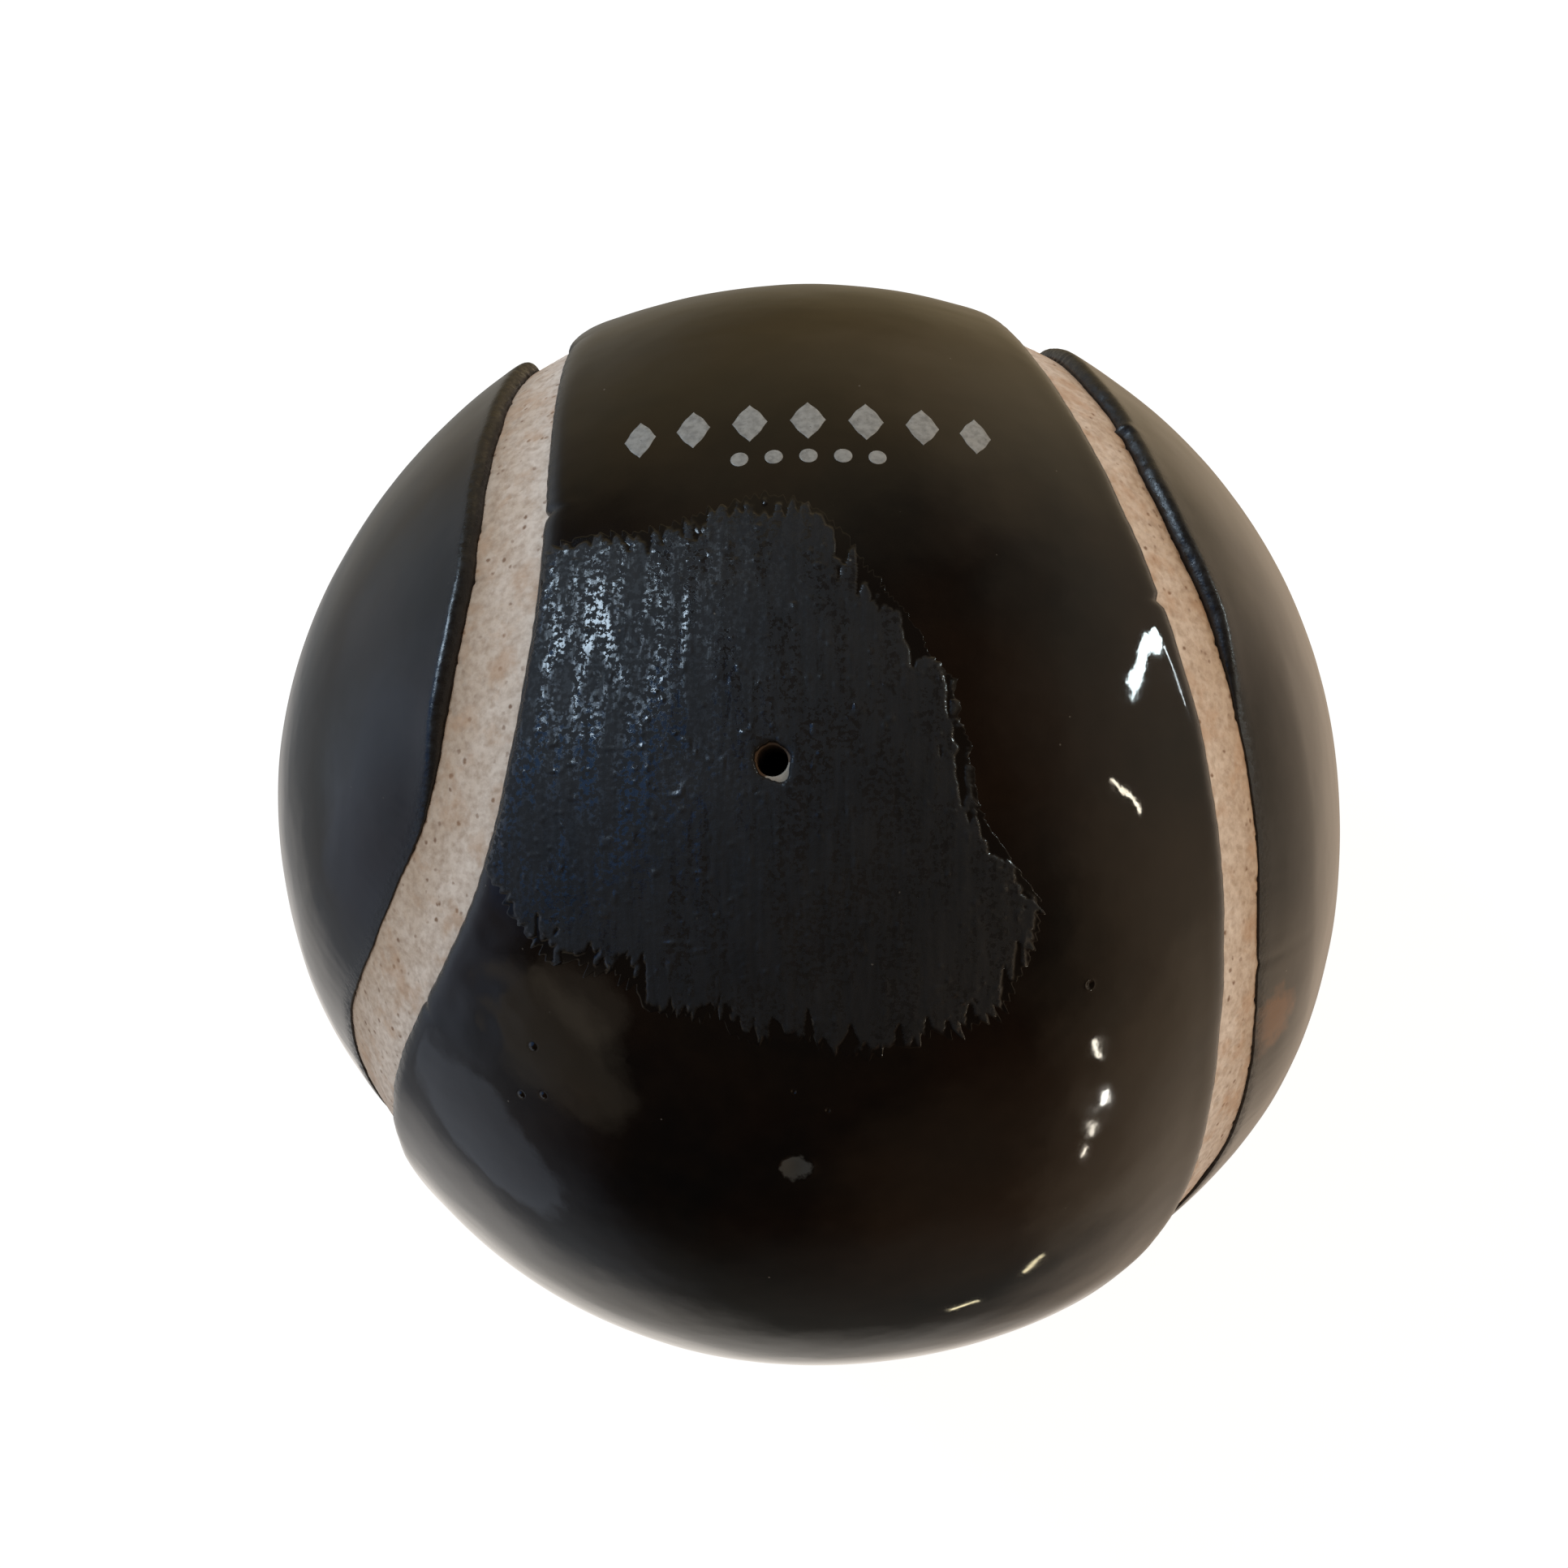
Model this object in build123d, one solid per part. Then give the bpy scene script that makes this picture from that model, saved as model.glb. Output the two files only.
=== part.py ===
from build123d import *
import math
import os

# Driving dimensions, in millimetres unless a name says degrees
BALL_DIAMETER = 92.0
GLAZE_THICKNESS = 0.5
CLAY_WALL = 6.0
GROOVE_DEPTH = 1.25
GROOVE_WALL_SLOPE = 0.45  # how far each groove wall leans outward per millimetre of height
VENT_DIAMETER = 2.3
COAT_THICKNESS = 0.2
MARK_THICKNESS = 0.1
SLIP_WEB = 0.8  # gap between the rims of the two halves, filled with slip
SLIP_BEAD_HEIGHT = 5.0
SLIP_BEAD_DEPTH = 1.2
REACH = 1.0  # how far cutting surfaces run past the skin they cut

BALL_RADIUS = BALL_DIAMETER / 2
CLAY_RADIUS = BALL_RADIUS - GLAZE_THICKNESS
INNER_RADIUS = CLAY_RADIUS - CLAY_WALL
FLOOR_RADIUS = BALL_RADIUS - GROOVE_DEPTH

# Middle of the groove as a closed path over the ball: longitude, angle from the vent, width of the floor.
# All three are in degrees. The groove runs like the seam of a tennis ball, cut by hand.
GROOVE_PATH = [
    (119.5, 72, 5.6), (128.5, 49, 7.8), (154, 32, 9.1), (195, 36, 9.6), (208, 55.5, 9.7), (216.5, 79, 9.6),
    (231, 98, 9.2), (256, 103, 8.2), (281, 100.5, 8.2), (305.5, 89.5, 8.8), (319.5, 75.6, 9.3), (335, 59, 7.2),
    (1, 49.4, 7.6), (32, 49.3, 7.1), (55.5, 61.7, 7.2), (66.5, 82, 6.6), (66, 103, 7.4), (52, 127, 7.6),
    (22, 142, 7.4), (345, 156, 7.1), (280, 161, 7.0), (224, 153, 7.0), (185, 139, 7.0),
    (156, 127, 6.8), (135, 112, 6.4), (121, 93.5, 6.0),
]
GROOVE_SAMPLES = 78
WALL_FACES = 13  # faces that make up each closed cutting wall

# A place on each glaze panel: longitude and angle from the vent, in degrees
FRONT_PANEL_SPOT = (90, 70)
REAR_PANEL_SPOT = (0, 90)

# Edge of the brushed coat: longitude and angle from the vent, in degrees
COAT_OUTLINE = [
    (88, 26), (63, 20), (40, 18), (10, 18), (350, 19), (335, 26), (320, 31), (300, 30), (280, 27),
    (255, 25), (230, 26), (207, 30), (190, 28), (167, 26), (148, 28), (136, 32), (118, 26),
]
COAT_SAMPLES = 68
SPLINE_ROUNDS = 60  # relaxation rounds after which a spline's control points no longer change

# Printed mark: a row of lozenges with a shorter row of dots under it
MARK_ANGLE = 35.6  # degrees from the vent to the middle of the row
MARK_LONGITUDE = 86.0
MARK_TILT = 3.8  # degrees that the rows turn from +X towards +Y
LOZENGE_COUNT = 7
LOZENGE_HEIGHT = 4.4
LOZENGE_WIDTH = 2.9
LOZENGE_PITCH = 4.4
DOT_COUNT = 5
DOT_DIAMETER = 1.4
DOT_PITCH = 2.6
DOT_DROP = 3.8  # from the middle of the lozenges down to the dots
STAMP_DEPTH = 12.0  # how far the mark's cutting prisms reach to each side of their plane


def unit(longitude, from_vent):
    """Direction from the ball's centre, from two angles in degrees."""
    around, down = math.radians(longitude), math.radians(from_vent)
    return Vector(math.sin(down) * math.cos(around), math.sin(down) * math.sin(around), math.cos(down))


def closed_spline(values, samples):
    """Evenly spaced samples of the closed cubic spline that passes through every value."""
    count = len(values)
    poles = list(values)
    for _ in range(SPLINE_ROUNDS):
        for i in range(count):
            poles[i] = (values[i] * 6 - poles[i - 1] - poles[(i + 1) % count]) * 0.25
    result = []
    for k in range(samples):
        place = k * count / samples
        i = int(place)
        f = place - i
        weights = ((1 - f) ** 3, 3 * f**3 - 6 * f**2 + 4, -3 * f**3 + 3 * f**2 + 3 * f + 1, f**3)
        near = [poles[(i + step) % count] for step in (-1, 0, 1, 2)]
        total = near[0] * weights[0]
        for weight, pole in zip(weights[1:], near[1:]):
            total += pole * weight
        result.append(total * (1 / 6))
    return result


def closed_edges(points):
    """Closed smooth curve through the points, as short edges that follow each other."""
    curve = Edge.make_spline(points, periodic=True)
    return [curve.trim(i / WALL_FACES, (i + 1) / WALL_FACES) for i in range(WALL_FACES)]


def groove_edge(side, radius):
    """One edge of the groove on the sphere of this radius: side is 1 at the front panel, -1 at the rear."""
    middle = [p.normalized() for p in closed_spline([unit(a, b) for a, b, w in GROOVE_PATH], GROOVE_SAMPLES)]
    widths = closed_spline([w for a, b, w in GROOVE_PATH], GROOVE_SAMPLES)
    points = []
    for k, here in enumerate(middle):
        along = (middle[(k + 1) % GROOVE_SAMPLES] - middle[k - 1]).normalized()
        across = here.cross(along)
        half = math.radians(widths[k] / 2) * FLOOR_RADIUS + (radius - FLOOR_RADIUS) * GROOVE_WALL_SLOPE
        turn = half / radius * side
        points.append((here * math.cos(turn) + across * math.sin(turn)) * radius)
    return closed_edges(points)


def wall_between(lower, upper):
    """Ruled wall between two closed curves."""
    return Shell([Face.make_surface_from_curves(low, high) for low, high in zip(lower, upper)])


def shell(outer, inner):
    """Hollow sphere."""
    return Sphere(outer) - Sphere(inner)


def pieces_cut_by(solid, walls):
    """The separate solids left after the walls have cut the solid."""
    found = [solid]
    for wall in walls:
        cut = []
        for piece in found:
            parts = piece.split(wall, keep=Keep.ALL)
            for part in parts:
                cut += part.solids()
        found = cut
    return found


def make_groove():
    """Solid that fills the groove and stands out of it."""
    low, high = FLOOR_RADIUS - REACH, BALL_RADIUS + 2 * REACH
    walls = [wall_between(groove_edge(side, low), groove_edge(side, high)) for side in (1, -1)]
    blank = shell(BALL_RADIUS + REACH, FLOOR_RADIUS).solid()
    band = unit(*GROOVE_PATH[0][:2]) * (FLOOR_RADIUS + GROOVE_DEPTH)
    return [s for s in pieces_cut_by(blank, walls) if s.is_inside(band)][0]


def make_coat_envelope():
    """Outer skin of the ball inside the brushed outline."""
    rim = [p.normalized() for p in closed_spline([unit(a, b) for a, b in COAT_OUTLINE], COAT_SAMPLES)]
    low, high = BALL_RADIUS - COAT_THICKNESS - REACH, BALL_RADIUS + REACH
    wall = wall_between(closed_edges([p * low for p in rim]), closed_edges([p * high for p in rim]))
    skin = shell(BALL_RADIUS, BALL_RADIUS - COAT_THICKNESS).solid()
    probe = Vector(0, 0, BALL_RADIUS - COAT_THICKNESS / 2)
    return [s for s in pieces_cut_by(skin, [wall]) if s.is_inside(probe)][0]


def make_mark():
    """Thin lozenges and dots that lie in the outer skin of the ball."""
    middle = Plane(
        origin=unit(MARK_LONGITUDE, MARK_ANGLE) * BALL_RADIUS,
        x_dir=unit(MARK_TILT, 90),
        z_dir=unit(MARK_LONGITUDE, MARK_ANGLE),
    )
    half_w, half_h = LOZENGE_WIDTH / 2, LOZENGE_HEIGHT / 2
    lozenge = Polygon((half_w, 0), (0, half_h), (-half_w, 0), (0, -half_h), align=None)
    shapes = Sketch()
    for i in range(LOZENGE_COUNT):
        shapes += Pos((i - (LOZENGE_COUNT - 1) / 2) * LOZENGE_PITCH, 0) * lozenge
    for i in range(DOT_COUNT):
        shapes += Pos((i - (DOT_COUNT - 1) / 2) * DOT_PITCH, -DOT_DROP) * Circle(DOT_DIAMETER / 2)
    stamps = extrude(middle * shapes, amount=STAMP_DEPTH, both=True)
    return stamps & shell(BALL_RADIUS, BALL_RADIUS - MARK_THICKNESS)


def half_space(top):
    """Large block above the slip web, or below it."""
    size = 2 * BALL_DIAMETER
    lift = (size + SLIP_WEB) / 2
    return Pos(0, 0, lift if top else -lift) * Box(size, size, size)


def make_slip(groove):
    """Web of slip between the rims and a rounded bead along the inside of the joint."""
    web = shell(CLAY_RADIUS, INNER_RADIUS) & Box(2 * BALL_DIAMETER, 2 * BALL_DIAMETER, SLIP_WEB)
    bead_half = SLIP_BEAD_HEIGHT / 2
    bead = Pos(INNER_RADIUS, 0) * Ellipse(SLIP_BEAD_DEPTH, bead_half)
    bead = revolve(Plane.XZ * bead, Axis.Z) & Sphere(INNER_RADIUS)
    return (web + bead) - groove


def make_front_glaze(glaze, coat, mark, vent):
    """Glaze on the panel that holds the vent, with room for the coat and the mark that sank into it."""
    probe = unit(*FRONT_PANEL_SPOT) * (BALL_RADIUS - GLAZE_THICKNESS / 2)
    panel = [s for s in glaze.solids() if s.is_inside(probe)][0]
    return panel - coat - mark - vent


def make_rear_glaze(glaze):
    """Glaze on the panel that has no vent."""
    probe = unit(*REAR_PANEL_SPOT) * (BALL_RADIUS - GLAZE_THICKNESS / 2)
    return [s for s in glaze.solids() if s.is_inside(probe)][0]


def main():
    groove = make_groove()
    vent = Cylinder(VENT_DIAMETER / 2, BALL_DIAMETER, align=(Align.CENTER, Align.CENTER, Align.MIN))
    clay = shell(CLAY_RADIUS, INNER_RADIUS) - groove
    glaze = shell(BALL_RADIUS, CLAY_RADIUS) - groove
    coat = make_coat_envelope() - groove - vent
    mark = make_mark()
    nodes = {
        "body_front_half": (clay & half_space(True)) - vent,
        "body_rear_half": clay & half_space(False),
        "luting_slip": make_slip(groove),
        "front_glaze_panel": make_front_glaze(glaze, coat, mark, vent),
        "rear_glaze_panel": make_rear_glaze(glaze),
        "brushed_coat": coat,
        "transfer_mark": mark,
    }
    os.makedirs("parts", exist_ok=True)
    for name, solid in nodes.items():
        solid.label = name
        export_step(solid, f"parts/{name}.step")


main()
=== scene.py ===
import math

import bpy
import numpy as np
from mathutils import Matrix, Quaternion, Vector
from mathutils.geometry import delaunay_2d_cdt

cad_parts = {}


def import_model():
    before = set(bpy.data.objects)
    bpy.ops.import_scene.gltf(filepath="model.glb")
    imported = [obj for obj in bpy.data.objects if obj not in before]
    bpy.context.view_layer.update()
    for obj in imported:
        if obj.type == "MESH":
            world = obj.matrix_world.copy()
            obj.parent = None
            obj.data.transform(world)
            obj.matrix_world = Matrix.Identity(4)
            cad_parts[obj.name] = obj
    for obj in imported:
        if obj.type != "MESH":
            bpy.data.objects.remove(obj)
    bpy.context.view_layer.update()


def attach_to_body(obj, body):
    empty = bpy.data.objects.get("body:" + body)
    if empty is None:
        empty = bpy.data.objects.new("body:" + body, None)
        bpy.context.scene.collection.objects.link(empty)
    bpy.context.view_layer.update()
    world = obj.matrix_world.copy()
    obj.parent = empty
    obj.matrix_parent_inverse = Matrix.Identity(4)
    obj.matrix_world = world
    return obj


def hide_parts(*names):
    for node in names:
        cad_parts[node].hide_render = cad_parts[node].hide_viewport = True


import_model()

MM = 0.001
SEED = 41

# The ball, in millimetres
RADIUS = 46.0
GLAZE = 0.5
INNER_RADIUS = 39.5
FLOOR_RADIUS = 44.75
VENT_RADIUS = 1.15
VENT_STEPS = 96
SLIP_HALF = 0.4
JOINT_STEPS = 1300
CORNER = 0.03  # a first row this far down a wall keeps its corner sharp

# Middle of the groove: longitude, angle from the vent and width of the floor, all in degrees
GROOVE_PATH = [
    (119.5, 72, 5.6), (128.5, 49, 7.8), (154, 32, 9.1), (195, 36, 9.6), (208, 55.5, 9.7), (216.5, 79, 9.6),
    (231, 98, 9.2), (256, 103, 8.2), (281, 100.5, 8.2), (305.5, 89.5, 8.8), (319.5, 75.6, 9.3),
    (335, 59, 7.2), (1, 49.4, 7.6), (32, 49.3, 7.1), (55.5, 61.7, 7.2), (66.5, 82, 6.6), (66, 103, 7.4),
    (52, 127, 7.6), (22, 142, 7.4), (345, 156, 7.1), (280, 161, 7.0), (224, 153, 7.0), (185, 139, 7.0),
    (156, 127, 6.8), (135, 112, 6.4), (121, 93.5, 6.0),
]
GROOVE_STEPS = 1560
SPLINE_ROUNDS = 60  # relaxation rounds after which a spline's control points no longer change
GROOVE_LENGTH = 480.0  # near enough for the widths of the spurs

# Edge of the brushed coat: longitude and angle from the vent
COAT_OUTLINE = [
    (88, 26), (63, 20), (40, 18), (10, 18), (350, 19), (335, 26), (320, 31), (300, 30), (280, 27),
    (255, 25), (230, 26), (207, 30), (190, 28), (167, 26), (148, 28), (136, 32), (118, 26),
]
COAT_STEPS = 1100

# How far the hand-made ball stands off a true sphere at its rim, every 20 degrees of longitude
ROUNDNESS = [
    -0.84, -0.63, -0.28, 0.07, 0.28, 0.35, 0.63, 0.42, 0.28,
    -0.14, -1.04, -0.77, -0.07, 0.35, 0.49, 0.77, 0.28, -0.28,
]

# Spurs where the glaze chipped as the groove was cut: longitude, angle from the vent, width, reach.
# A spur of positive reach stands into the groove. One of negative reach is a notch in the glaze.
SPURS = [
    (131.7, 35.4, 0.35, -0.5), (49.3, 59.5, 0.4, 0.5), (24.8, 48.0, 0.4, -0.6),
    (120.5, 66.0, 0.5, -0.3), (206.0, 47.0, 0.4, -0.3), (338.0, 58.0, 0.4, -0.3),
]

# Dimples in the glaze: longitude, angle from the vent, radius, depth. A blister has a negative depth.
DIMPLES = [
    (272.3, 39.3, 1.15, 0.22), (227.9, 36.7, 0.35, -0.16), (230.5, 42.5, 0.3, -0.14),
    (233.3, 40.6, 0.3, -0.14), (325.7, 37.0, 0.35, 0.14), (278.5, 33.2, 0.22, 0.1),
    (273.1, 30.9, 0.22, 0.1),
]

# Where the glaze ran and wrinkled: longitude and angle from the vent
RUNS = (213.0, 38.0)


def unit(longitude, from_vent):
    """Directions from the ball's centre for angles in degrees."""
    around, down = np.radians(longitude), np.radians(from_vent)
    return np.stack([np.sin(down) * np.cos(around), np.sin(down) * np.sin(around), np.cos(down)], -1)


def normalized(v):
    return v / np.linalg.norm(v, axis=-1, keepdims=True)


def smooth(x):
    x = np.clip(x, 0, 1)
    return x * x * (3 - 2 * x)


def closed_spline(values, samples):
    """Evenly spaced samples of the closed cubic spline that passes through every value."""
    values = np.asarray(values, float)
    count = len(values)
    poles = values.copy()
    for _ in range(SPLINE_ROUNDS):
        for i in range(count):
            poles[i] = (6 * values[i] - poles[i - 1] - poles[(i + 1) % count]) / 4
    place = np.arange(samples) * count / samples
    i = place.astype(int)
    f = (place - i).reshape((-1,) + (1,) * (values.ndim - 1))
    near = [poles[(i + step) % count] for step in (-1, 0, 1, 2)]
    weights = [(1 - f) ** 3, 3 * f**3 - 6 * f**2 + 4, -3 * f**3 + 3 * f**2 + 3 * f + 1, f**3]
    return sum(w * p for w, p in zip(weights, near)) / 6


def noise(points, scale, seed=0):
    """Smooth value noise from -1 to 1, with features of about this scale."""
    q = points / scale + 1000.0 + 37.0 * seed
    cell = np.floor(q).astype(np.int64)
    f = q - cell
    u = f * f * f * (f * (f * 6 - 15) + 10)
    total = np.zeros(len(points))
    for corner in range(8):
        step = np.array([corner & 1, corner >> 1 & 1, corner >> 2 & 1])
        c = cell + step
        # Large odd numbers scramble the corner's place into a value that is always the same there
        h = (c[:, 0] * 73856093) ^ (c[:, 1] * 19349663) ^ (c[:, 2] * 83492791) ^ (seed * 2654435761 + SEED)
        h = (h ^ (h >> 13)) * 1274126177 & 0x7FFFFFFF
        value = (h ^ (h >> 16)) % 65536 / 32767.5 - 1
        total += value * np.prod(np.where(step, u, 1 - u), axis=1)
    return total


def ring_noise(samples, waves, seed):
    """Closed wavy line: waves is a list of (waves round the ring, height)."""
    rng = np.random.default_rng(SEED + seed)
    turn = np.arange(samples) / samples * 2 * math.pi
    total = np.zeros(samples)
    for most, height in waves:
        for count in range(max(1, most // 2), most):
            total += rng.normal() * np.cos(count * turn + rng.uniform(0, 6.28)) * height * (2 / most) ** 0.5
    return total


# The groove


class Groove:
    def __init__(self):
        table = np.array(GROOVE_PATH, float)
        self.middle = normalized(closed_spline(unit(table[:, 0], table[:, 1]), GROOVE_STEPS))
        widths = closed_spline(table[:, 2], GROOVE_STEPS)
        along = normalized(np.roll(self.middle, -1, 0) - np.roll(self.middle, 1, 0))
        self.across = np.cross(self.middle, along)
        half = np.radians(widths / 2) * FLOOR_RADIUS
        self.half = {}
        for side, seed in ((1, 5), (-1, 9)):
            wavy = ring_noise(GROOVE_STEPS, [(26, 0.14), (90, 0.055), (400, 0.022)], seed)
            self.half[side] = half + wavy
        for lon, pol, width, reach in SPURS:
            self.add_spur(unit(lon, pol), width, reach)

    def add_spur(self, place, width, reach):
        k = int(np.argmax(self.middle @ place))
        side = 1 if self.across[k] @ place > 0 else -1
        steps = (np.arange(GROOVE_STEPS) - k + GROOVE_STEPS // 2) % GROOVE_STEPS - GROOVE_STEPS // 2
        gap = steps * GROOVE_LENGTH / GROOVE_STEPS
        self.half[side] = self.half[side] - reach * np.exp(-((gap / width) ** 2))

    def measure(self, n):
        """Distance in millimetres from the groove's edge: positive on the front panel, negative on the rear.

        Also gives the distance from each edge into the glaze, as {side: distance}.
        """
        lateral = np.empty(len(n))
        nearest = np.empty(len(n), int)
        for start in range(0, len(n), 20000):
            part = n[start : start + 20000]
            near = part @ self.middle.T
            k = np.argmax(near, axis=1)
            off = np.arcsin(np.clip((part * self.across[k]).sum(1), -1, 1)) * RADIUS
            far = np.arccos(np.clip(near[np.arange(len(part)), k], -1, 1)) * RADIUS
            lateral[start : start + 20000] = np.where(np.abs(off) < 8, off, np.sign(off) * far)
            nearest[start : start + 20000] = k
        return {side: side * lateral - self.half[side][nearest] for side in (1, -1)}

    def line(self, side, offset):
        """Directions along the groove's edge on one side, moved this far into the glaze."""
        turn = ((self.half[side] + offset) / RADIUS * side)[:, None]
        return self.middle * np.cos(turn) + self.across * np.sin(turn)


groove = Groove()

# Radii of the surfaces

LIP_HEIGHT = RADIUS - FLOOR_RADIUS
# Where the rear panel slopes down to the clay: width of the slope, and its share of the lip's height
SLOPE_WIDTH, SLOPE_SHARE = 9.0, 0.85


def shoulder(side, n):
    """Width of the rounded glaze edge. It is wider where the front panel narrows to its neck."""
    if side == -1:
        return np.full(len(n), 0.85)
    return 1.7 + 0.9 * np.clip((n[:, 1] - 0.62) / 0.25, 0, 1)


def worn_down(side, n):
    """1 where the rear panel slopes gently down to the clay, 0 where it ends in a steep rounded edge."""
    if side == 1:
        return np.zeros(len(n))
    lower_right = smooth((n @ unit(335.0, 75.0) - 0.66) / 0.16)
    lower_left = smooth((n @ unit(207.0, 62.0) - 0.78) / 0.12)
    return np.maximum(lower_right, lower_left)


rim_bulge = closed_spline(ROUNDNESS, 360)


def bulge(n):
    """The ball's out-of-round, which fades towards the vent."""
    longitude = np.degrees(np.arctan2(n[:, 1], n[:, 0])) % 360
    i = longitude.astype(int)
    f = longitude - i
    rim = rim_bulge[i % 360] * (1 - f) + rim_bulge[(i + 1) % 360] * f
    level = n[:, 0] ** 2 + n[:, 1] ** 2
    return rim * level**1.5 + 0.1 * noise(n * RADIUS, 26, 3)


def clay_floor(n):
    """Bottom of the groove: knife facets, grit and pits."""
    p = n * RADIUS
    facets = 0.07 * noise(p, 5.0, 11) + 0.035 * noise(p, 2.0, 12)
    pits = np.clip(noise(p, 0.55, 13) - 0.42, 0, 1) * 0.22
    return FLOOR_RADIUS + bulge(n) + facets + 0.012 * noise(p, 0.3, 14) - pits


def glaze_top(n, edges):
    """Outer surface of the glaze, with its rounded edges, waves and dimples."""
    p = n * RADIUS
    r = RADIUS + bulge(n) + 0.06 * noise(p, 11, 21) + 0.026 * noise(p, 4.5, 22) + 0.006 * noise(p, 1.5, 23)
    for side in (1, -1):
        e = edges[side]
        width = shoulder(side, n)
        u = np.clip(e / width, 0, 1)
        steep = 1 - np.power(np.clip(1 - (1 - u) ** 2.3, 0, 1), 1 / 2.3)
        gentle = SLOPE_SHARE * (1 - np.clip(e / SLOPE_WIDTH, 0, 1)) ** 1.5
        worn = worn_down(side, n)
        lip = LIP_HEIGHT * (steep * (1 - worn) + gentle * worn)
        bead = 0.03 * np.exp(-(((e - 1.2 * width) / 0.9) ** 2))
        near = (e > -0.01) & (e < SLOPE_WIDTH)
        r = r + np.where(near, bead - lip, 0)
    off_runs = np.arccos(np.clip(n @ unit(*RUNS), -1, 1)) * RADIUS
    r = r + 0.07 * noise(p, 1.7, 24) * np.exp(-((off_runs / 5.0) ** 2))
    for lon, pol, radius, depth in DIMPLES:
        gap = np.arccos(np.clip(n @ unit(lon, pol), -1, 1)) * RADIUS / radius
        bowl = np.maximum(1 - gap**2, 0) ** 1.5 - 0.12 * np.exp(-(((gap - 1.15) / 0.2) ** 2))
        r = r - depth * bowl
    return r


def coat_cover(n, inside):
    """How fully the coat covers the glaze, from 0 to 1.

    Bristles left it ragged near its outline, but it is whole where it runs up to the groove.
    """
    p = n * RADIUS
    bristles = noise(p * [1 / 0.5, 1 / 5.0, 1 / 2.0], 1, 41) + 0.5 * noise(p * [1, 0.5, 1], 0.5, 43)
    longitude = np.arctan2(n[:, 1], n[:, 0])
    whole = smooth((np.cos(longitude - math.radians(172)) - 0.7) / 0.2)
    ragged = 0.2 + 1.7 * np.clip(bristles + 0.3, 0, 2) + 0.4 * noise(p, 0.9, 42)
    return smooth((inside - ragged * (1 - whole)) / 0.5)


def coat_relief(n, inside):
    """Height of the brushed coat over the glaze: streaks along +Y, grit, and a thin ragged edge."""
    p = n * RADIUS
    wander = 0.5 * noise(p, 9.0, 37)
    streak = p * [1 / 0.55, 1 / 8.0, 1 / 2.0] + wander[:, None] * [1, 0, 0]
    body = 0.02 * noise(streak, 1, 31)
    grit = 0.012 * noise(p * [1, 0.6, 1], 0.5, 33) + 0.014 * noise(p, 0.33, 34)
    patchy = 0.3 + 0.7 * smooth(0.5 + 0.9 * noise(p * [1, 0.4, 1], 2.5, 38))
    crumbs = np.clip(noise(p, 0.5, 39) - 0.55, 0, 1) * 0.2
    height = 0.075 + body + grit * patchy + crumbs + 0.02 * noise(p, 3.0, 35)
    cover = coat_cover(n, inside)
    ridge = 0.03 * cover * (1 - cover) * 4 * np.clip(0.3 + noise(p, 0.9, 36), 0, 1.2)
    return (0.012 + np.maximum(height, 0.01) * cover + ridge) * smooth(inside / 0.12)


# Closed meshes on the sphere


def clear_of_groove(count):
    """Edge distances, as Groove.measure gives them, for points in the middle of the front panel."""
    return {1: np.full(count, 20.0), -1: np.full(count, -30.0)}


def fibonacci(spacing):
    """Even directions over the sphere, this far apart in millimetres on the ball's surface."""
    count = int(4 * math.pi * RADIUS**2 / (spacing**2 * 0.866))
    i = np.arange(count) + 0.5
    z = 1 - 2 * i / count
    turn = math.pi * (3 - math.sqrt(5)) * i
    r = np.sqrt(1 - z * z)
    return np.stack([r * np.cos(turn), r * np.sin(turn), z], -1)


def beyond(n, angle):
    """Which of the directions are more than this many degrees from the vent."""
    return n[:, 2] < math.cos(math.radians(angle))


def circle(angle, samples):
    """Directions at this angle in degrees from the vent."""
    turn = np.arange(samples) / samples * 360
    return unit(turn, np.full(samples, angle))


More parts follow.
